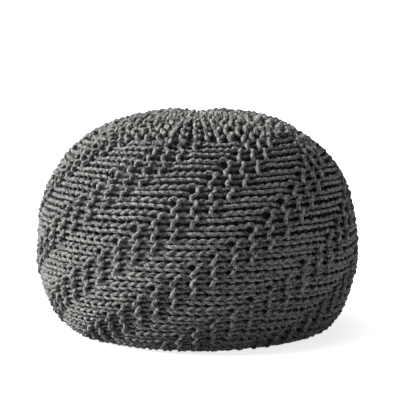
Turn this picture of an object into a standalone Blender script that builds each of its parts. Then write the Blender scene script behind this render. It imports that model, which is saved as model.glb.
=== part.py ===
"""A hand-knitted pouf: a round floor cushion, filled tight in a knitted cotton cover.

The cover and its filling are one closed solid. It stands on a flat round foot, swells to a belly
below half height and closes over a crown, where the knitting is gathered into a sunken eye and
tucks run in towards it. All sizes are in metres, +Z is up and the origin is the centre of the
foot. An azimuth turns round +Z from the front (-Y) towards +X.
"""

import math

import bpy

# Driving dimensions
DIAMETER = 0.504           # across the belly
FOOT_DIAMETER = 0.350      # the flat part that stands on the floor
CROWN_HEIGHT = 0.348       # where the crown would close if it had no eye
CROWN_FULLNESS = 2.40      # power of the crown's curve: 2 is an ellipse, more is squarer
BELLY_HEIGHT = 0.130       # height of the widest ring
EYE_DEPTH = 0.036          # how far the gathered eye sinks below the crown
EYE_RADIUS = 0.024         # radius at which the eye has lost two thirds of that depth
TUCK_RADIUS = 0.060        # distance from the middle at which the tucks are deepest

# Facets
AROUND = 72
FOOT_TO_BELLY_RINGS = 9
BELLY_TO_CROWN_RINGS = 22

# Tucks drawn in towards the eye, one row each
TUCKS = [
    {"azimuth_deg": 5, "depth": 0.0050, "spread_deg": 15},
    {"azimuth_deg": 58, "depth": 0.0035, "spread_deg": 17},
    {"azimuth_deg": 116, "depth": 0.0055, "spread_deg": 16},
    {"azimuth_deg": 180, "depth": 0.0090, "spread_deg": 18},
    {"azimuth_deg": 246, "depth": 0.0060, "spread_deg": 15},
    {"azimuth_deg": 308, "depth": 0.0040, "spread_deg": 18},
]

# Uneven filling: swellings of the wall, as a share of its radius, with so many waves round it
SWELLINGS = [
    {"waves": 1, "share": 0.0065, "azimuth_deg": 270},
    {"waves": 2, "share": 0.0050, "azimuth_deg": 35},
    {"waves": 3, "share": 0.0035, "azimuth_deg": 80},
]

YARN_COLOUR = (0.150, 0.146, 0.142, 1.0)


def turn_between(azimuth, other):
    """Smallest angle between two azimuths, in radians."""
    return abs((azimuth - other + math.pi) % (2 * math.pi) - math.pi)


def swelling(azimuth):
    """Share by which the wall stands further out at this azimuth."""
    return sum(
        row["share"] * math.cos(row["waves"] * (azimuth - math.radians(row["azimuth_deg"])))
        for row in SWELLINGS
    )


def tuck_depth(radius, azimuth):
    """How far the tucks pull the crown down. They are deepest at TUCK_RADIUS and fade both ways."""
    reach = (radius / TUCK_RADIUS * math.exp(1 - radius / TUCK_RADIUS)) ** 3
    pull = 0.0
    for row in TUCKS:
        turn = turn_between(azimuth, math.radians(row["azimuth_deg"]))
        pull += row["depth"] * math.exp(-((turn / math.radians(row["spread_deg"])) ** 2))
    return pull * reach


def foot_to_belly(turn, azimuth):
    """Radius and height on the lower wall: a quarter ellipse, with turn 0 at the foot's edge."""
    foot = FOOT_DIAMETER / 2
    radius = foot + (DIAMETER / 2 - foot) * math.sin(turn)
    radius *= 1 + swelling(azimuth) * math.sin(turn)
    return radius, BELLY_HEIGHT * (1 - math.cos(turn))


def belly_to_crown(turn, azimuth):
    """Radius and height on the upper wall: a squarish quarter ellipse, less the eye and tucks."""
    power = 2 / CROWN_FULLNESS
    radius = DIAMETER / 2 * math.cos(turn) ** power
    height = BELLY_HEIGHT + (CROWN_HEIGHT - BELLY_HEIGHT) * math.sin(turn) ** power
    height -= EYE_DEPTH * math.exp(-((radius / EYE_RADIUS) ** 2))
    height -= tuck_depth(radius, azimuth)
    radius *= 1 + swelling(azimuth) * math.cos(turn)
    return radius, height


def wall_ring(outline, turn):
    """One ring of points, where outline gives the radius and height at each azimuth."""
    ring = []
    for step in range(AROUND):
        azimuth = 2 * math.pi * step / AROUND
        radius, height = outline(turn, azimuth)
        ring.append((radius * math.sin(azimuth), -radius * math.cos(azimuth), height))
    return ring


def cover_rings():
    """All rings from the foot's edge up to the last one round the eye's middle."""
    quarter = math.pi / 2
    lower = [quarter * step / FOOT_TO_BELLY_RINGS for step in range(FOOT_TO_BELLY_RINGS)]
    upper = [quarter * step / BELLY_TO_CROWN_RINGS for step in range(BELLY_TO_CROWN_RINGS)]
    return [wall_ring(foot_to_belly, turn) for turn in lower] + [
        wall_ring(belly_to_crown, turn) for turn in upper
    ]


def cotton_yarn():
    material = bpy.data.materials.new("cotton_yarn")
    material.use_nodes = True
    shader = material.node_tree.nodes["Principled BSDF"]
    shader.inputs["Base Color"].default_value = YARN_COLOUR
    shader.inputs["Roughness"].default_value = 0.92
    shader.inputs["Metallic"].default_value = 0.0
    return material


def filled_cover():
    """The cover with its filling: a flat foot, the wall's rings, and a point in the eye."""
    rings = cover_rings()
    points = [point for ring in rings for point in ring]
    eye = len(points)
    points.append((0.0, 0.0, CROWN_HEIGHT - EYE_DEPTH))

    faces = [list(range(AROUND))[::-1]]
    for ring in range(len(rings) - 1):
        for step in range(AROUND):
            beside = (step + 1) % AROUND
            low, high = ring * AROUND, (ring + 1) * AROUND
            faces.append([low + step, low + beside, high + beside, high + step])
    last = (len(rings) - 1) * AROUND
    for step in range(AROUND):
        faces.append([last + step, last + (step + 1) % AROUND, eye])

    mesh = bpy.data.meshes.new("filled_knit_cover")
    mesh.from_pydata(points, [], faces)
    mesh.shade_smooth()
    mesh.set_sharp_from_angle(angle=math.radians(50))
    mesh.materials.append(cotton_yarn())
    cover = bpy.data.objects.new("filled_knit_cover", mesh)
    bpy.context.scene.collection.objects.link(cover)
    return cover


for leftover in list(bpy.data.objects):
    bpy.data.objects.remove(leftover)

filled_cover()
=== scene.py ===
import bpy
import math
import numpy as np
from mathutils import Matrix, Vector


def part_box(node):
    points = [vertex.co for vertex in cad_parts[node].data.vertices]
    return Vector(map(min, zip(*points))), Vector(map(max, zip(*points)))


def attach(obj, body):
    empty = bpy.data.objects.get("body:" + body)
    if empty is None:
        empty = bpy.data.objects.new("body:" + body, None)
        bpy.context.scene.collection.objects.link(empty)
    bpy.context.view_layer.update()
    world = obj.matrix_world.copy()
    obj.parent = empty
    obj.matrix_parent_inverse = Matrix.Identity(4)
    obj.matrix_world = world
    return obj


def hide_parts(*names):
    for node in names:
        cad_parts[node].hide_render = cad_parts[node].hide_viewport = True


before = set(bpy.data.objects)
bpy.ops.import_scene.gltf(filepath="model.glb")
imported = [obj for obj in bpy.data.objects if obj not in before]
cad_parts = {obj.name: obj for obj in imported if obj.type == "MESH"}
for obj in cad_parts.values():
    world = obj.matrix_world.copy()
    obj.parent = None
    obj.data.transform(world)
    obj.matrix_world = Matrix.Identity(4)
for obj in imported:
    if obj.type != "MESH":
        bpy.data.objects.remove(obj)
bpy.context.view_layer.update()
coverLow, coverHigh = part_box("filled_knit_cover")
coverSize = coverHigh - coverLow
mm = 0.001
quarterTurn = math.pi / 2
wholeTurn = math.pi * 2
print("frame loaded: cover", [round(side, 4) for side in coverSize])


# the outer skin, on which all the yarn lies
skin = {
    "diameter": (coverSize.x + coverSize.y) / 2 + 0.0040,   # cushioned yarn stands a little proud
    "footDiameter": 0.354,     # the flat part that stands on the floor
    "footLean": 0.0025,        # the foot stands a little to the right of the middle
    "crownHeight": coverSize.z + 0.0042,   # the gathers take a little off the crown
    "bellyHeight": 0.130,      # where it is widest
    "fullness": 2.43,          # 2 is an ellipse, more is squarer in the shoulder
    "eyeDepth": 0.036,         # the sunken middle of the crown
    "eyeRadius": 0.024,
    "tuckRadius": 0.060,
    "tucks": ((5, 0.0015, 15), (58, 0.0035, 17), (116, 0.0050, 16),    # azimuth, depth, spread
              (178, 0.0076, 22), (246, 0.0050, 15), (308, 0.0040, 18)),
    "swellings": ((1, 0.0065, 270), (2, 0.0050, 35), (3, 0.0035, 80)),  # waves, share, azimuth
}


# uneven filling: the sum of a few slow waves round the belly, as shares of the radius
def swelling(azimuth):
    return sum(share * np.cos(waves * (azimuth - math.radians(start)))
               for waves, share, start in skin["swellings"])


# troughs that run out from the eye: each is a bell in azimuth, deepest at one radius and gone at the eye
def tuckDepth(radius, azimuth):
    reach = radius / skin["tuckRadius"]
    alongTuck = (reach * np.exp(1 - reach)) ** 3
    depth = 0
    for middle, deepest, spread in skin["tucks"]:
        away = np.degrees(azimuth) - middle
        away = (away + 180) % 360 - 180
        depth = depth + deepest * np.exp(-(away / spread) ** 2)
    return depth * alongTuck


# the outline: way 0 is the eye, 1 the belly, 2 the foot's edge and 3 the foot's middle. The crown is a
# squared quarter ellipse less a bell at the eye and the tucks, the lower side a quarter ellipse that moves
# over to the leaning foot, and the foot a flat disc
def skinAt(way, azimuth, plain=False):
    half = skin["diameter"] / 2
    foot = skin["footDiameter"] / 2
    rise = np.clip(1 - way, 0, 1) * quarterTurn
    drop = np.clip(2 - way, 0, 1) * quarterTurn
    inward = np.clip(3 - way, 0, 1)
    power = 2 / skin["fullness"]
    crownRadius = half * np.cos(rise) ** power
    crownRise = (skin["crownHeight"] - skin["bellyHeight"]) * np.sin(rise) ** power
    dip = skin["eyeDepth"] * np.exp(-(crownRadius / skin["eyeRadius"]) ** 2)
    dip = dip + (0 if plain else tuckDepth(crownRadius, azimuth))
    sideRadius = foot + (half - foot) * np.sin(drop)
    uneven = 0 if plain else swelling(azimuth) * np.where(way < 1, np.cos(rise), np.sin(drop))
    radius = np.where(way < 1, crownRadius, sideRadius) * np.where(way < 2, 1, inward) * (1 + uneven)
    height = np.where(way < 1, skin["bellyHeight"] + crownRise - dip,
                      skin["bellyHeight"] * (1 - np.cos(drop)))
    lean = skin["footLean"] * (1 - np.sin(drop)) * (0 if plain else 1)
    return np.stack((radius * np.sin(azimuth) + lean, -radius * np.cos(azimuth), height), axis=-1)


# a table of the distance from the eye along one mean meridian, with more of its points near both ends
tableSize = 6001
wayTable = 3 * (0.5 - 0.5 * np.cos(np.linspace(0, math.pi, tableSize)))
wayTable = np.unique(np.concatenate((wayTable, np.linspace(0, 3, tableSize))))
meridian = skinAt(wayTable, np.zeros(len(wayTable)), plain=True)
arcTable = np.concatenate(([0], np.cumsum(np.linalg.norm(np.diff(meridian, axis=0), axis=1))))
radiusTable = -meridian[:, 1]
print("meridian, eye to middle of the foot:", round(arcTable[-1], 4))


def pointAt(arc, azimuth):   # the skin at a distance from the eye, whose way is read from the table
    return skinAt(np.interp(arc, arcTable, wayTable), azimuth)


def radiusAt(arc):   # the mean meridian's radius there
    return np.interp(arc, arcTable, radiusTable)


# outward normal: the cross product of a short step down the meridian and a short step round
def normalAt(arc, azimuth):
    stepDown = 1.0 * mm
    stepRound = 0.004
    down = pointAt(arc + stepDown, azimuth) - pointAt(arc - stepDown, azimuth)
    across = pointAt(arc, azimuth + stepRound) - pointAt(arc, azimuth - stepRound)
    normal = np.cross(down, across)
    return normal / np.linalg.norm(normal, axis=-1, keepdims=True)


def eased(x):   # 0 to 1 with level ends
    x = np.clip(x, 0, 1)
    return x * x * (3 - 2 * x)


lattice = {
    "wales": 60,               # more than the cover has
    "walesBefore": 12,         # so many of them come before wale 0
    "spareRows": 4,
}


# random numbers on a lattice that closes round the pouf, eased between its points
def unevenness(seed, across, along, stepAcross, stepAlong):
    columns = int(round(knit["courses"] / stepAcross))
    rows = int(lattice["wales"] / stepAlong) + lattice["spareRows"]
    chance = np.random.default_rng(seed).uniform(-1, 1, (columns, rows))
    x = across / knit["courses"] * columns
    y = (along + lattice["walesBefore"]) / stepAlong
    column = np.floor(x).astype(int)
    row = np.clip(np.floor(y).astype(int), 0, rows - 2)
    fx = eased(x - column)
    fy = eased(y - row)
    here = column % columns
    beside = (column + 1) % columns
    left = chance[here, row] * (1 - fy) + chance[here, row + 1] * fy
    right = chance[beside, row] * (1 - fy) + chance[beside, row + 1] * fy
    return left * (1 - fx) + right * fx


def newObject(name, data):
    made = bpy.data.objects.new(name, data)
    bpy.context.scene.collection.objects.link(made)
    return made


# a smooth piece from whole arrays: points, quads, a place on the yarn for each corner of each quad, and for
# each point its share of painted shade, from how deep it lies in the cloth
def meshPiece(name, points, faces, uv, paintedShade):
    mesh = bpy.data.meshes.new(name)
    mesh.vertices.add(len(points))
    mesh.vertices.foreach_set("co", points.astype(np.float32).ravel())
    mesh.loops.add(faces.size)
    mesh.loops.foreach_set("vertex_index", faces.astype(np.int32).ravel())
    mesh.polygons.add(len(faces))
    mesh.polygons.foreach_set("loop_start", np.arange(0, faces.size, faces.shape[1], dtype=np.int32))
    mesh.polygons.foreach_set("loop_total", np.full(len(faces), faces.shape[1], np.int32))
    mesh.uv_layers.new(name="yarn").data.foreach_set("uv", uv.astype(np.float32).ravel())
    # painted shade: the share by which each point's colour is darkened, kept on the mesh
    shares = mesh.attributes.new("paintedShade", "FLOAT", "POINT")
    shares.data.foreach_set("value", paintedShade.astype(np.float32).ravel())
    mesh.update(calc_edges=True)
    mesh.validate()
    mesh.shade_smooth()
    return newObject(name, mesh)


# numbers are in courses across and in wales along; lengths and radii are in metres
knit = {
    "courses": 108,            # knitted sideways: a course runs from the eye down the side to the foot
    "ridgeEvery": 2,           # each second course carries the purl stitches
    "firstRidge": -1.0,        # azimuth of ridge 0, degrees
    "crownWales": 8,           # all-purl borders round the eye, and again under the foot
    "footWales": 4,
    "sideWales": 20,
    "patternWales": 6,         # three purl, three knit, moved on by one at each ridge
    "purlWales": 3,
    "patternStart": 2,
    # wale, mm from the eye: rows are drawn out where the courses crowd together
    "rows": ((-8, 26), (-6, 68), (-4, 108), (-2, 147), (0, 182), (3, 256), (8, 358), (14, 457), (20, 552),
             (21, 579), (22, 611), (23, 650), (24, 698)),
    "loopReach": 0.84,         # half the height of a loop
    "reachUneven": 0.06,
    "arcLength": 12.0 * mm,    # from leg to leg round the head or the foot of a loop
    "arcLess": 0.125,          # half of that, less this, is how far the legs close in
    "leastWaist": 0.01,
    "mostWaist": 0.215,
    "legTilt": 0.08,           # the lower leg slants more than the upper one
    "openLoop": 0.042,         # and each leg stands this much further from the loop's middle
    "crossing": 3.5 * mm,      # how far a strand goes in front and behind
    "onTop": 0.03,             # each leg is furthest out this much nearer its own foot
    "lean": 0.5 * mm,          # the lower leg stands this much further out, the upper one further in
    "turnBefore": 0.12,        # a strand comes to the front this much before its wale
    "turnEase": 0.12,
    "legBlend": 0.13,          # the side changes to the next course's this far round a leg's middle
    "purlSwell": 0.42,         # a purl bump stands out by this much more
    "roundBump": 0.05,         # its legs close in this much less
    "roundShare": 0.25,        # and less by this share
    "bumpLean": 0.50,          # and leans by so many courses for each wale
    "fineUneven": 0.05,        # from stitch to stitch
    "broadUneven": 0.10,       # over a few stitches
    "depthUneven": 0.9 * mm,
    "ridgeLift": 1.3 * mm,
    "valleySink": 4.6 * mm,
    "ridgeNarrow": 0.17,       # the ridges are this much narrower low down, and by this share of it above
    "narrowShare": 0.35,
    "narrowFrom": 3,
    "narrowRun": 7,
    "borderLoose": 2.0,        # the purl borders are that much less even
    "borderCrossing": 0.42,    # and that much deeper
    "borderSink": 2.0 * mm,    # valleys sink further, since purl wales lie side by side there
    "borderLow": 1.3 * mm,     # and the whole border lies this much lower
    "borderStagger": 0.16,     # chains of bumps are moved along by this much, in turn up and down
    "borderSpread": 0.15,      # the ridges widen until they touch, within a radius
    "spreadRadius": 0.185,
    "spreadRun": 0.04,
    "pressedFrom": 18.2,       # wale from which the weight flattens the cover
    "pressedRun": 2.5,
    "pressedFlat": 0.85,       # by this share
    "coverDepth": 7.4 * mm,    # the middle of the knit under the skin
    "settled": 3.0 * mm,       # the cover has settled this much on to the floor
    "settledBelow": 55 * mm,
    "reliefLit": 0.6,          # how far the painted shade leaves out the ridges and valleys
    "paintedShadeFrom": 4.1 * mm,    # painted shade: yarn lower in the cloth than this is painted darker, fully so at the second height
    "paintedShadeTo": -2.9 * mm,
    "yarnRadius": 2.6 * mm,
    "thickUneven": 0.05,
    "purlThick": 0.22,         # thicker by this share at a purl bump
    "borderThick": 0.13,       # and by this one within a radius
    "thickRadius": 0.17,
    "thickRun": 0.03,
    "stretchedThin": 0.14,     # drawn thinner towards the foot
    "stretchedFrom": 11,
    "stretchedRun": 6,
    "panels": 6,
    "samples": (14, 18, 11),   # points to a stitch: crown border, side, foot border
    "yarnSides": 8,
}


def purlMask():   # 1 where ridge k is purl at a wale, for the wales of both borders and the side
    wales = np.arange(-knit["crownWales"], knit["sideWales"] + knit["footWales"])
    ridges = np.arange(knit["courses"] // knit["ridgeEvery"])
    step = (wales[None, :] + knit["patternStart"] - ridges[:, None]) % knit["patternWales"]
    onSide = (wales >= 0) & (wales < knit["sideWales"])
    return np.where(onSide[None, :], step < knit["purlWales"], True).astype(float)


purl = purlMask()


# the side on which a stitch is drawn through: 1 knit, -1 purl
def stitchSide(course, wale):
    course = course % knit["courses"]
    column = np.clip(wale + knit["crownWales"], 0, purl.shape[1] - 1)
    ridge = course // knit["ridgeEvery"]
    isRidge = course % knit["ridgeEvery"] == 0
    return np.where(isRidge & (purl[ridge, column] > 0.5), -1.0, 1.0)


# the same along a strand, eased from one wale to the next over a short part of the wale
def sideAlong(course, along, ease):
    wale = np.floor(along).astype(int)
    part = along - wale
    here = stitchSide(course, wale)
    before = stitchSide(course, wale - 1)
    after = stitchSide(course, wale + 1)
    fromBefore = 1 - eased((part + ease) / (2 * ease))
    toAfter = eased((part - 1 + ease) / (2 * ease))
    return here + (before - here) * fromBefore + (after - here) * toAfter


# how much the cover is ridged at a place: the purl mask, eased between ridges and wales
def ridged(across, along):
    ridge = across / knit["ridgeEvery"]
    row = along - 0.5 + knit["crownWales"]
    low = np.floor(ridge).astype(int)
    top = np.clip(np.floor(row).astype(int), 0, purl.shape[1] - 2)
    fx = eased(ridge - low)
    fy = np.clip(row - top, 0, 1)
    count = purl.shape[0]
    left = purl[low % count, top] * (1 - fy) + purl[low % count, top + 1] * fy
    right = purl[(low + 1) % count, top] * (1 - fy) + purl[(low + 1) % count, top + 1] * fy
    return left * (1 - fx) + right * fx


# distance from the eye: the table, carried on straight at both ends, with its corners rounded by the mean
# of three places half a wale apart
def arcOfWale(along):
    beyond = 4
    wales = [row[0] for row in knit["rows"]]
    arcs = [row[1] * mm for row in knit["rows"]]
    slopes = (arcs[1] - arcs[0]) / (wales[1] - wales[0]), (arcs[-1] - arcs[-2]) / (wales[-1] - wales[-2])
    wales = [wales[0] - beyond, *wales, wales[-1] + beyond]
    arcs = [arcs[0] - beyond * slopes[0], *arcs, arcs[-1] + beyond * slopes[1]]
    return sum(np.interp(along + shift, wales, arcs) for shift in (-0.5, 0, 0.5)) / 3


hole = {
    "place": (0.30, 0.0),      # beside the first purl stitch of a ridge: courses, wales
    "open": 4.4 * mm,          # how far it pushes the strands round it
    "reach": 8.0 * mm,
    "middle": 0.5 * mm,        # the push fades out within this of the middle
    "share": 0.8,              # each hole opens by this share of that, give or take the next
    "uneven": 0.45,
    "stitchSize": (14.5 * mm, 16.5 * mm),   # of a course across and a wale along
}


# where a run of purl begins, the strands part round an open hole: each point moves straight away from the
# hole's middle, by a bell of its distance
def partedStrands(across, down):
    moveAcross = 0
    moveDown = 0
    placeAcross, placeDown = hole["place"]
    wide, tall = hole["stitchSize"]
    nearest = np.round((across - placeAcross) / knit["ridgeEvery"])
    for ridge in (nearest - 1, nearest, nearest + 1):
        first = ridge - knit["patternStart"]
        repeat = np.round((down - placeDown - first) / knit["patternWales"])
        start = first + repeat * knit["patternWales"]
        awayAcross = (across - placeAcross - ridge * knit["ridgeEvery"]) * wide
        awayDown = (down - placeDown - start) * tall
        away = np.hypot(awayAcross, awayDown)
        push = hole["open"] * np.exp(-(away / hole["reach"]) ** 2) / (away + hole["middle"])
        push = push * ((start > 0) & (start < knit["sideWales"]))
        varied = unevenness(18, ridge * knit["ridgeEvery"], start, 1, 1)
        push = push * (hole["share"] + hole["uneven"] * varied)
        moveAcross = moveAcross + push * awayAcross / wide
        moveDown = moveDown + push * awayDown / tall
    return moveAcross, moveDown


gather = {
    "ridgeWidth": 6.8 * mm,    # ridges closer than this push each other in and out
    "lobes": 9,
    "crestShare": 0.45,        # how far the ridges on top spread, in courses
    "tightening": 1.5,         # and how soon
    "litShare": 0.3,           # how far the painted shade follows the gathers in
    "thinning": 0.16,          # the yarn is thinner within this radius
    "thinRadius": 0.09,
    "thinRun": 0.07,
}


# the gathers: where the ridges come closer than their own width, each second one sinks until the distance
# from ridge to ridge is that width again, and nearer the middle all but one in six sink once more, the one
# halfway between by a third more than that
def gatherDepth(across, arc):
    radius = radiusAt(arc)
    ridge = across / knit["ridgeEvery"]
    ridges = knit["courses"] / knit["ridgeEvery"]
    between = wholeTurn * radius / ridges
    first = np.sqrt(np.maximum(0, gather["ridgeWidth"] ** 2 - between ** 2))
    second = np.sqrt(np.maximum(0, gather["ridgeWidth"] ** 2 - (2 * between) ** 2))
    depth = first * (0.5 - 0.5 * np.cos(math.pi * ridge))
    depth = depth + second * (0.5 - 0.5 * np.cos(wholeTurn * ridge * gather["lobes"] / ridges)) * 4 / 3
    return depth


# the shift round the pouf that widens the ridges on top: a sine across them, eased in as they tighten
def gatherSpread(across, arc):
    radius = radiusAt(arc)
    between = wholeTurn * radius / (knit["courses"] / knit["ridgeEvery"])
    tight = eased((gather["ridgeWidth"] - between) / gather["ridgeWidth"] * gather["tightening"])
    return gather["crestShare"] * tight * np.sin(across * quarterTurn)


yarn = {
    "lobes": 3,                # the yarn is a little three-sided, and that turns along it
    "lobed": 0.06,
    "lobeLay": 0.019,
    "lumpy": 0.05,
    "dark": (0.016, 0.0155, 0.015),
    "light": (0.345, 0.335, 0.32),
    "strands": 6,
    "lay": 0.022,              # length in which the strands go once round
    "fibreScale": 430.0,
    "heatherScale": 300.0,
    "fibreLength": 0.8,        # less than 1 draws the fibres out along the yarn
    "fibreShare": 0.6,         # of the mix of fibres; the rest is heather
    "mixFrom": 0.41,           # the mix is all dark fibres below this and all light ones above that
    "mixTo": 0.58,
    "grooveShade": 0.38,       # painted shade: what is left of the colour's lightness between two strands
    "paintedShadeDark": 0.95,        # painted shade: how far the colour is darkened towards the dark fibres deep in the cloth
    "strandHeight": 0.7,
    "fibreHeight": 0.5,
    "bumpHeight": 0.7 * mm,
    "roughness": 0.88,
    "sheen": 0.25,
}


# one course of yarn, as a line: along the course it goes steadily from wale to wale and swings from the
# foot of its loop to the head and back with a cosine. Its legs close in with a double sine and stand apart
# with a single one. It goes through the cloth with a double cosine, whose side the stitches of this course
# and the next one set, and where a foot or head comes to the front, the purl bump is rounder, leans and
# stands out. Each place is then moved by chance and by the open holes. Where the mask has purl, ridges rise
# with a squared cosine, valleys sink with a squared sine, and a sine across them sets the ridges' width.
# The borders are deeper, lower, looser and staggered, and all is pressed flat towards the floor
def courseLine(course, along):
    wale = np.floor(along)
    part = along - wale
    tilt = 1 - knit["legTilt"] * np.sin(wholeTurn * part)
    reach = knit["loopReach"] * (1 + knit["reachUneven"] * unevenness(11, course, along, 1, 1))
    across = course + 0.5 - reach * np.cos(wholeTurn * part)
    waleHeight = arcOfWale(along + 0.5) - arcOfWale(along - 0.5)
    waist = knit["arcLength"] / (2 * waleHeight) - knit["arcLess"]
    waist = np.clip(waist, knit["leastWaist"], knit["mostWaist"])
    lowerSide = sideAlong(course, along + knit["turnBefore"], knit["turnEase"])
    upperSide = stitchSide(course + 1, wale.astype(int))
    blend = knit["legBlend"]
    upper = eased((part - 0.25 + blend) / (2 * blend))
    upper = upper * (1 - eased((part - 0.75 + blend) / (2 * blend)))
    side = lowerSide + (upperSide - lowerSide) * upper
    swing = np.cos(2 * wholeTurn * (part + knit["onTop"] * np.sin(wholeTurn * part)))
    bump = np.maximum(0, swing) * np.maximum(0, -side)
    waist = waist - (knit["roundBump"] + knit["roundShare"] * waist) * np.clip(bump, 0, 1)
    down = along + waist * tilt * np.sin(2 * wholeTurn * part) - knit["openLoop"] * np.sin(wholeTurn * part)
    across = across + knit["bumpLean"] * bump * (down - np.round(along * 2) / 2)
    inBorder = eased(0.5 - along) + eased(along - knit["sideWales"] + 0.5)
    crossing = knit["crossing"] * (1 + knit["borderCrossing"] * inBorder)
    depth = -crossing * swing * side * (1 + knit["purlSwell"] * bump)
    depth = depth - knit["lean"] * np.sin(wholeTurn * part)
    down = down + knit["borderStagger"] * inBorder * np.cos(quarterTurn * across)
    loose = 1 + knit["borderLoose"] * inBorder
    fine = knit["fineUneven"] * loose
    broad = knit["broadUneven"] * loose
    across = across + fine * unevenness(12, across, down, 1, 1) + broad * unevenness(13, across, down, 4, 3)
    down = down + fine * unevenness(14, across, down, 1, 1) + broad * unevenness(15, across, down, 6, 3)
    pressed = eased((along - knit["pressedFrom"]) / knit["pressedRun"])
    ridges = ridged(across, down) * (1 - pressed)
    moveAcross, moveDown = partedStrands(across, down)
    lift = knit["ridgeLift"] * ridges * np.cos(across * quarterTurn) ** 2
    sink = (knit["valleySink"] + knit["borderSink"] * inBorder) * ridges * np.sin(across * quarterTurn) ** 2
    depth = depth + lift - sink - knit["borderLow"] * inBorder
    depth = depth + knit["depthUneven"] * unevenness(16, across, down, 2, 2)
    depth = depth * (1 - knit["pressedFlat"] * pressed)
    inside = (knit["spreadRadius"] - radiusAt(arcOfWale(down))) / knit["spreadRun"]
    lower = eased((down - knit["narrowFrom"]) / knit["narrowRun"])
    narrow = knit["narrowShare"] + (1 - knit["narrowShare"]) * lower
    spread = knit["borderSpread"] * eased(inside)
    spread = spread - knit["ridgeNarrow"] * ridges * (1 - inBorder) * narrow
    across = across + spread * np.sin(math.pi * across) + moveAcross
    arc = arcOfWale(down + moveDown)
    turned = across + gatherSpread(across, arc)
    azimuth = math.radians(knit["firstRidge"]) - turned * wholeTurn / knit["courses"]
    relief = (lift - sink) * (1 - inBorder)
    return arc, azimuth, depth, gatherDepth(across, arc), bump, relief


# a tube along a line: rings of points in the plane of the cloth's normal and the binormal, whose radius has
# a few lobes that turn along the yarn and a little chance. It is pressed flat on the floor, and its points
# get painted shade by how low they are in the cloth: the line's height plus their own height over the line
def tube(line, normal, radius, raised, sides, seed):
    tangent = np.gradient(line, axis=0)
    tangent /= np.linalg.norm(tangent, axis=1, keepdims=True)
    out = normal - np.sum(normal * tangent, axis=1, keepdims=True) * tangent
    out /= np.linalg.norm(out, axis=1, keepdims=True)
    aside = np.cross(tangent, out)
    turn = np.arange(sides) * wholeTurn / sides
    ring = out[:, None, :] * np.cos(turn)[None, :, None] + aside[:, None, :] * np.sin(turn)[None, :, None]
    count = len(line)
    length = np.concatenate(([0], np.cumsum(np.linalg.norm(np.diff(line, axis=0), axis=1))))
    lobes = np.cos(yarn["lobes"] * turn[None, :] - wholeTurn * length[:, None] / yarn["lobeLay"])
    rough = np.random.default_rng(seed).uniform(-1, 1, (count, sides))
    thick = radius[:, None] * (1 + yarn["lobed"] * lobes + yarn["lumpy"] * rough)
    points = line[:, None, :] + ring * thick[:, :, None]
    raised = raised[:, None] + thick * np.cos(turn)[None, :]
    # painted shade: darker the lower the point lies in the cloth
    paintedShade = eased((knit["paintedShadeFrom"] - raised) / (knit["paintedShadeFrom"] - knit["paintedShadeTo"]))
    here = np.arange(count - 1)[:, None] * sides + np.arange(sides)[None, :]
    beside = np.arange(count - 1)[:, None] * sides + (np.arange(sides)[None, :] + 1) % sides
    faces = np.stack((here, beside, beside + sides, here + sides), axis=-1).reshape(-1, 4)
    corners = np.arange(1, sides - 1, 2)   # each end is closed with a fan of quads
    cap = np.stack((np.zeros_like(corners), corners, corners + 1, corners + 2), axis=-1) % sides
    caps = np.concatenate((cap[:, ::-1], cap + (count - 1) * sides))
    start = np.broadcast_to(length[:-1, None], here.shape)
    end = np.broadcast_to(length[1:, None], here.shape)
    low = np.broadcast_to((np.arange(sides) / sides)[None, :], here.shape)
    high = low + 1 / sides
    uv = np.stack((start, low, start, high, end, high, end, low), axis=-1).reshape(-1, 2)
    faces = np.concatenate((faces, caps))
    uv = np.concatenate((uv, np.zeros((caps.size, 2))))
    points = points.reshape(-1, 3)
    points[:, 2] = np.maximum(points[:, 2], 0)
    return points, faces, uv, paintedShade, length[-1]


# a panel of the cover: the lines of its courses, one down and the next one up, joined end to end. Each lies
# under the skin by the cover's depth and the gathers, less its own height, and has settled near the floor.
# The yarn is thicker at bumps and in the border, and thinner in the gathers and where it is stretched
def knitPanel(number):
    perPanel = knit["courses"] // knit["panels"]
    top, side, foot = knit["samples"]
    wales = knit["sideWales"]
    along = np.concatenate((np.arange(-knit["crownWales"] * top, 0) / top,
                            np.arange(0, wales * side) / side,
                            wales + np.arange(0, knit["footWales"] * foot) / foot))
    lines, normals, radii, heights = [], [], [], []
    for course in range(number * perPanel, (number + 1) * perPanel):
        arc, azimuth, raised, gathered, bump, relief = courseLine(course, along)
        normal = normalAt(arc, azimuth)
        line = pointAt(arc, azimuth) + normal * (raised - knit["coverDepth"] - gathered)[:, None]
        radius = radiusAt(arc)
        nearEye = eased((knit["thickRadius"] - radius) / knit["thickRun"])
        gatheredIn = eased((gather["thinRadius"] - radius) / gather["thinRun"])
        stretched = eased((along - knit["stretchedFrom"]) / knit["stretchedRun"])
        thick = 1 + knit["thickUneven"] * unevenness(17, np.full(len(along), float(course)), along, 1, 1)
        thick = thick + knit["purlThick"] * bump + knit["borderThick"] * nearEye
        thick = thick * (1 - gather["thinning"] * gatheredIn)
        thick = thick * (1 - knit["stretchedThin"] * stretched)
        order = slice(None, None, 1 if course % 2 else -1)
        lines.append(line[order])
        normals.append(normal[order])
        radii.append(thick[order] * knit["yarnRadius"])
        # the height that sets the painted shade: the gathers and the ridges and valleys count in it only in
        # part
        heights.append((raised - gather["litShare"] * gathered - knit["reliefLit"] * relief)[order])
    line = np.concatenate(lines)
    line[:, 2] -= knit["settled"] * eased(1 - line[:, 2] / knit["settledBelow"])
    line[:, 2] = np.maximum(line[:, 2], knit["yarnRadius"])
    points, faces, uv, paintedShade, length = tube(line, np.concatenate(normals), np.concatenate(radii),
                                             np.concatenate(heights), knit["yarnSides"], 100 + number)
    panel = meshPiece(f"knit_panel_{number + 1}", points, faces, uv, paintedShade)
    print(f"knit panel {number + 1}: {len(faces) * 2} triangles, {length:.1f} m of yarn")
    return panel


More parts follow.
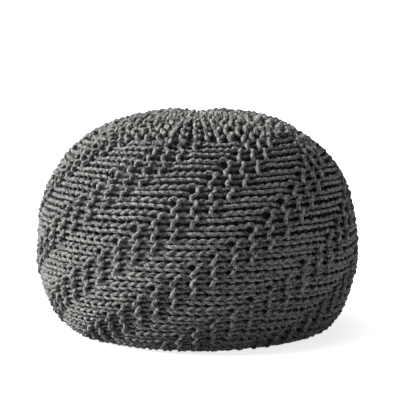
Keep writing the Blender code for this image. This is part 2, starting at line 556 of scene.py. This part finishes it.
# a node's output socket, on which Python's operators add Math nodes
class Wire:
    def __init__(self, tree, socket=None):
        self.tree = tree
        self.socket = socket

    # any node: its type, the settings to set first, then the values or wires of its sockets
    def node(self, kind, settings=None, inputs=None, output=0):
        made = self.tree.nodes.new(kind)
        for name, value in (settings or {}).items():
            setattr(made, name, value)
        for name, value in (inputs or {}).items():
            if isinstance(value, Wire):
                self.tree.links.new(value.socket, made.inputs[name])
            else:
                made.inputs[name].default_value = value
        return Wire(self.tree, made.outputs[output] if len(made.outputs) else None)

    def other(self, output):   # another output of the same node
        return Wire(self.tree, self.socket.node.outputs[output])

    def ranged(self, low, high, start=0.0, end=1.0):   # eased from start to end as this goes low to high
        return self.node("ShaderNodeMapRange", {"interpolation_type": "SMOOTHSTEP"},
                         {0: self, 1: low, 2: high, 3: start, 4: end})

    def blended(self, first, second):   # from one colour to the other as this goes from 0 to 1
        return self.node("ShaderNodeMix", {"data_type": "RGBA"},
                         {0: self, 6: (*first, 1), 7: (*second, 1)}, 2)

    def calc(self, operation, *values):
        return self.node("ShaderNodeMath", {"operation": operation}, dict(enumerate(values)))

    def __add__(self, other):
        return self.calc("ADD", self, other)

    def __radd__(self, other):
        return self.calc("ADD", other, self)

    def __sub__(self, other):
        return self.calc("SUBTRACT", self, other)

    def __rsub__(self, other):
        return self.calc("SUBTRACT", other, self)

    def __mul__(self, other):
        return self.calc("MULTIPLY", self, other)

    def __rmul__(self, other):
        return self.calc("MULTIPLY", other, self)

    def __truediv__(self, other):
        return self.calc("DIVIDE", self, other)

    def __abs__(self):
        return self.calc("ABSOLUTE", self)


def newMaterial(name):
    material = bpy.data.materials.new(name)
    material.use_nodes = True
    material.node_tree.nodes.clear()
    return material, Wire(material.node_tree)


# charcoal cotton: strands twisted round each other, each of mixed light and dark fibres, with painted shade
# in the grooves between strands and deep in the cloth. A place on the yarn is its length and the share of
# the way round; a strand is the absolute sine of the twisted share
def yarnMaterial():
    material, nodes = newMaterial("charcoal_cotton_yarn")
    place = nodes.node("ShaderNodeUVMap", {"uv_map": "yarn"})
    length = nodes.node("ShaderNodeSeparateXYZ", None, {0: place})
    around = length.other(1)
    twisted = around - length / yarn["lay"]
    strand = abs(nodes.calc("SINE", twisted * (math.pi * yarn["strands"])))
    angle = twisted * wholeTurn
    fibrePlace = nodes.node("ShaderNodeCombineXYZ", None, {
        0: nodes.calc("COSINE", angle) * knit["yarnRadius"],
        1: nodes.calc("SINE", angle) * knit["yarnRadius"],
        2: length * yarn["fibreLength"]})
    fibre = nodes.node("ShaderNodeTexNoise", None, {
        "Vector": fibrePlace, "Scale": yarn["fibreScale"], "Detail": 1.5, "Roughness": 0.6})
    heather = nodes.node("ShaderNodeTexNoise", None, {
        "Vector": fibrePlace, "Scale": yarn["heatherScale"], "Detail": 2.0, "Roughness": 0.5})
    mixed = fibre * yarn["fibreShare"] + heather * (1 - yarn["fibreShare"])
    mixed = mixed.ranged(yarn["mixFrom"], yarn["mixTo"])
    # painted shade from the mesh: how deep each point lies in the cloth
    paintedShade = nodes.node("ShaderNodeAttribute", {"attribute_name": "paintedShade"}, None, 2)
    groove = yarn["grooveShade"]
    # the fibres' own mix of tones, with painted shade in the strands' grooves and deep in the cloth
    shade = mixed * (groove + (1 - groove) * strand) * (1 - yarn["paintedShadeDark"] * paintedShade)
    height = strand * yarn["strandHeight"] + fibre * yarn["fibreHeight"]
    bump = nodes.node("ShaderNodeBump", None, {
        "Strength": 1.0, "Distance": yarn["bumpHeight"], "Height": height})
    surface = nodes.node("ShaderNodeBsdfPrincipled", None, {
        "Base Color": shade.blended(yarn["dark"], yarn["light"]), "Normal": bump,
        "Roughness": yarn["roughness"], "Sheen Weight": yarn["sheen"], "Sheen Roughness": 0.5,
        "Specular IOR Level": 0.25})
    nodes.node("ShaderNodeOutputMaterial", None, {0: surface})
    return material


bag = {
    "colour": (0.045, 0.049, 0.058),
    "threadTones": (0.6, 1.4),   # of the colour, from thread to thread
    "threadScale": 900.0,
    "threadHeight": 0.4 * mm,
    "depth": 18.5 * mm,        # under the skin
    "lowDepth": 6.5 * mm,      # near the floor, where the cover is pressed thin
    "lowHeight": 26 * mm,      # the full depth is reached this much higher than where it begins to grow
    "lowStart": 0.2,           # which is at this share of it
    "gatherDepth": 30 * mm,    # deeper by this under the gathers, within a radius
    "gatherRadius": 0.13,
    "gatherRun": 0.11,
    "poleRadius": 0.07,        # near both poles it is moved straight down or up
    "poleRun": 0.05,
    "eyeDip": 1 * mm,
    "floorGap": 0.4 * mm,
    "around": 54,
    "rows": 40,
    "pressure": 4.0,
    "frames": 20,
    "mostSwell": 3.0 * mm,
}


# plain woven near-black cloth: its threads are a fine noise, as tone and as bump
def bagMaterial():
    material, nodes = newMaterial("inner_bag_cloth")
    place = nodes.node("ShaderNodeTexCoord", None, None, 3)
    weave = nodes.node("ShaderNodeTexNoise", None, {
        "Vector": place, "Scale": bag["threadScale"], "Detail": 2.0})
    deep, pale = [tuple(share * part for part in bag["colour"]) for share in bag["threadTones"]]
    bump = nodes.node("ShaderNodeBump", None, {
        "Strength": 0.5, "Distance": bag["threadHeight"], "Height": weave})
    surface = nodes.node("ShaderNodeBsdfPrincipled", None, {
        "Base Color": weave.blended(deep, pale), "Normal": bump, "Roughness": 0.9,
        "Specular IOR Level": 0.2})
    nodes.node("ShaderNodeOutputMaterial", None, {0: surface})
    return material


# the filled bag: the skin moved in by a depth that is small near the floor and larger under the gathers,
# along its normal, which turns upright near both poles. It settles as the cover does and is closed by a
# fan of triangles at each pole
def innerBag():
    rows = bag["rows"]
    count = bag["around"]
    arc = np.linspace(0, arcTable[-1], rows + 1)[1:-1]
    azimuth = np.arange(count) * wholeTurn / count
    arc, azimuth = np.meshgrid(arc, azimuth, indexing="ij")
    radius = radiusAt(arc)
    ring = pointAt(arc, azimuth)
    upper = eased(ring[..., 2] / bag["lowHeight"] - bag["lowStart"])
    deep = bag["lowDepth"] + (bag["depth"] - bag["lowDepth"]) * upper
    deep = deep + bag["gatherDepth"] * upper * eased((bag["gatherRadius"] - radius) / bag["gatherRun"])
    normal = normalAt(arc, azimuth)
    vertical = np.zeros_like(normal)
    vertical[..., 2] = np.where(arc < arcTable[-1] / 2, 1, -1)
    steep = eased((bag["poleRadius"] - radius) / bag["poleRun"])[..., None]
    normal = normal * (1 - steep) + vertical * steep
    normal /= np.linalg.norm(normal, axis=-1, keepdims=True)
    ring = ring - normal * deep[..., None]
    ring[..., 2] -= knit["settled"] * eased(1 - ring[..., 2] / knit["settledBelow"])
    ring[..., 2] = np.maximum(ring[..., 2], bag["floorGap"])
    points = ring.reshape(-1, 3)
    eye = np.array([[0, 0, ring[0, :, 2].mean() - bag["eyeDip"]]])
    foot = np.array([[0, 0, ring[-1, :, 2].mean()]])
    points = np.concatenate((points, eye, foot))
    here = np.arange(rows - 2)[:, None] * count + np.arange(count)[None, :]
    beside = np.arange(rows - 2)[:, None] * count + (np.arange(count)[None, :] + 1) % count
    quads = np.stack((here, here + count, beside + count, beside), axis=-1).reshape(-1, 4)
    ends = np.arange(count)
    last = (rows - 2) * count
    eyeFan = np.stack((np.full(count, len(points) - 2), ends, (ends + 1) % count), axis=-1)
    footFan = np.stack((np.full(count, len(points) - 1), last + (ends + 1) % count, last + ends), axis=-1)
    mesh = bpy.data.meshes.new("inner_bag")
    mesh.from_pydata(points.tolist(), [], quads.tolist() + eyeFan.tolist() + footFan.tolist())
    mesh.update()
    mesh.shade_smooth()
    return newObject("inner_bag", mesh)


# the filling pushes the bag out: a short cloth simulation under pressure, in which each point keeps its
# direction but moves no further than a few millimetres
def fillBag(piece):
    cloth = piece.modifiers.new("filling", "CLOTH")
    cloth.settings.use_pressure = True
    cloth.settings.uniform_pressure_force = bag["pressure"]
    cloth.settings.effector_weights.gravity = 0
    scene = bpy.context.scene
    for number in range(1, bag["frames"] + 1):
        scene.frame_set(number)
    depsgraph = bpy.context.evaluated_depsgraph_get()
    filled = piece.evaluated_get(depsgraph).to_mesh()
    count = len(piece.data.vertices)
    before = np.empty(count * 3, np.float32)
    after = np.empty(count * 3, np.float32)
    piece.data.vertices.foreach_get("co", before)
    filled.vertices.foreach_get("co", after)
    piece.evaluated_get(depsgraph).to_mesh_clear()
    piece.modifiers.remove(cloth)
    scene.frame_set(1)
    move = (after - before).reshape(-1, 3)
    size = np.linalg.norm(move, axis=1, keepdims=True)
    tiny = 1e-9   # for points that have not moved
    move *= np.minimum(1, bag["mostSwell"] / np.maximum(size, tiny))
    moved = before.reshape(-1, 3) + move
    moved[:, 2] = np.maximum(moved[:, 2], bag["floorGap"])
    piece.data.vertices.foreach_set("co", moved.ravel())
    piece.data.update()
    print(f"bag filled: moved {size.mean() / mm:.1f} mm on average, held to {bag['mostSwell'] / mm:.0f} mm")


charcoal = yarnMaterial()
panels = [knitPanel(number) for number in range(knit["panels"])]
for panel in panels:
    panel.data.materials.append(charcoal)
    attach(panel, "root")
    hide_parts("filled_knit_cover")

lining = innerBag()
fillBag(lining)
smoother = lining.modifiers.new("smooth", "SUBSURF")
smoother.levels = smoother.render_levels = 1
lining.data.materials.append(bagMaterial())
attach(lining, "root")
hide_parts("filled_knit_cover")


studio = {
    "floorHalf": 300.0,
    "floorTone": 0.90,
    "floorGlow": (0.80, 0.97),   # painted light: the floor glows, so that shadows on it stay faint, the more so further out; its lower glow near the pouf is painted shade
    "glowReach": (0.21, 0.31),
    "sky": 0.09,
    "bounce": 1.22,            # what the floor throws back on the pouf, from a sheet a little lower
    "bounceDrop": 2 * mm,
    "bounceShade": (0.10, 0, 0),   # less of it close to this place, where the pouf shades the floor
    "bounceReach": (0.19, 0.44),
    "bounceLeft": 0.45,        # and less on the left
    "bounceSides": (-0.5, 0.4),
    "fillStrength": 1.1,       # a weak, broad light from higher up
    "fillAzimuth": -60.0,
    "fillElevation": 50.0,
    "fillSoftness": 40.0,
    "keyStrength": 7.6,
    "keyAzimuth": -84.0,       # from the left
    "keyElevation": 28.0,
    "keySoftness": 30.0,
    "middle": (0, 0, 0.17),    # the camera stands off from this place and looks at the aim
    "distance": 2.6,
    "elevation": 8.0,
    "aim": (0.0039, 0.0, 0.2041),
    "imageSide": 400,
    "focalPixels": 1648,
    "sensor": 36,
    "clipEnd": 1000,
}


def directionFrom(azimuth, elevation):   # azimuth 0 is the front, and 90 the right
    a, e = math.radians(azimuth), math.radians(elevation)
    return Vector((math.sin(a) * math.cos(e), -math.cos(a) * math.cos(e), math.sin(e)))


def grey(tone):
    return (tone, tone, tone)


half = studio["floorHalf"]
floorMesh = bpy.data.meshes.new("floor")
floorMesh.from_pydata([(-half, -half, 0), (half, -half, 0), (half, half, 0), (-half, half, 0)], [],
                      [(0, 1, 2, 3)])
floor = newObject("floor", floorMesh)
floorMaterial, nodes = newMaterial("pale_floor")
# painted light: the floor's own glow, dimmer near the pouf as painted shade and brighter further out
place = nodes.node("ShaderNodeTexCoord", None, None, 3)
outward = nodes.node("ShaderNodeVectorMath", {"operation": "LENGTH"}, {0: place}, 1)
outward = outward.ranged(*studio["glowReach"])
low, high = studio["floorGlow"]
paint = nodes.node("ShaderNodeBsdfPrincipled", None, {
    "Base Color": (*grey(studio["floorTone"]), 1), "Roughness": 1.0, "Specular IOR Level": 0.0,
    "Emission Color": outward.blended(grey(low), grey(high)), "Emission Strength": 1.0})
nodes.node("ShaderNodeOutputMaterial", None, {0: paint})
floor.data.materials.append(floorMaterial)
floor.visible_diffuse = False   # a second sheet just under it stands for its bounce

bounceMesh = floorMesh.copy()
bounceMesh.name = "floor_bounce"
bounceMesh.transform(Matrix.Translation((0, 0, -studio["bounceDrop"])))
bounceMesh.materials.clear()
bounceSheet = newObject("floor_bounce", bounceMesh)
bounceMaterial, nodes = newMaterial("floor_bounce")
place = nodes.node("ShaderNodeTexCoord", None, None, 3)
fromShade = nodes.node("ShaderNodeVectorMath", {"operation": "SUBTRACT"},
                       {0: place, 1: studio["bounceShade"]})
away = nodes.node("ShaderNodeVectorMath", {"operation": "LENGTH"}, {0: fromShade}, 1)
toRight = nodes.node("ShaderNodeSeparateXYZ", None, {0: place})
openness = away.ranged(*studio["bounceReach"])
openness = openness * toRight.ranged(*studio["bounceSides"], studio["bounceLeft"], 1.0)
paint = nodes.node("ShaderNodeBsdfPrincipled", None, {
    "Base Color": (*grey(0), 1), "Specular IOR Level": 0.0,
    "Emission Color": openness.blended(grey(0), grey(1)), "Emission Strength": studio["bounce"]})
nodes.node("ShaderNodeOutputMaterial", None, {0: paint})
bounceMesh.materials.append(bounceMaterial)
bounceSheet.visible_camera = False
bounceSheet.visible_shadow = False

world = bpy.data.worlds.new("studio")
world.use_nodes = True
world.node_tree.nodes.clear()
sky = Wire(world.node_tree)
glow = sky.node("ShaderNodeBackground", None, {"Color": (1, 1, 1, 1), "Strength": studio["sky"]})
sky.node("ShaderNodeOutputWorld", None, {0: glow})
bpy.context.scene.world = world
bpy.context.scene.view_settings.view_transform = "Standard"

for name in ("key", "fill"):
    light = bpy.data.lights.new(name, "SUN")
    light.energy = studio[name + "Strength"]
    light.angle = math.radians(studio[name + "Softness"])
    lamp = newObject(name, light)
    lightFrom = directionFrom(studio[name + "Azimuth"], studio[name + "Elevation"])
    lamp.rotation_euler = lightFrom.to_track_quat("Z", "Y").to_euler()

camera = newObject("camera", bpy.data.cameras.new("camera"))
camera.data.sensor_width = studio["sensor"]
camera.data.lens = studio["sensor"] * studio["focalPixels"] / studio["imageSide"]
camera.data.clip_end = studio["clipEnd"]
camera.location = Vector(studio["middle"]) + directionFrom(0, studio["elevation"]) * studio["distance"]
camera.rotation_euler = (Vector(studio["aim"]) - camera.location).to_track_quat("-Z", "Y").to_euler()
bpy.context.scene.camera = camera
print("studio set")
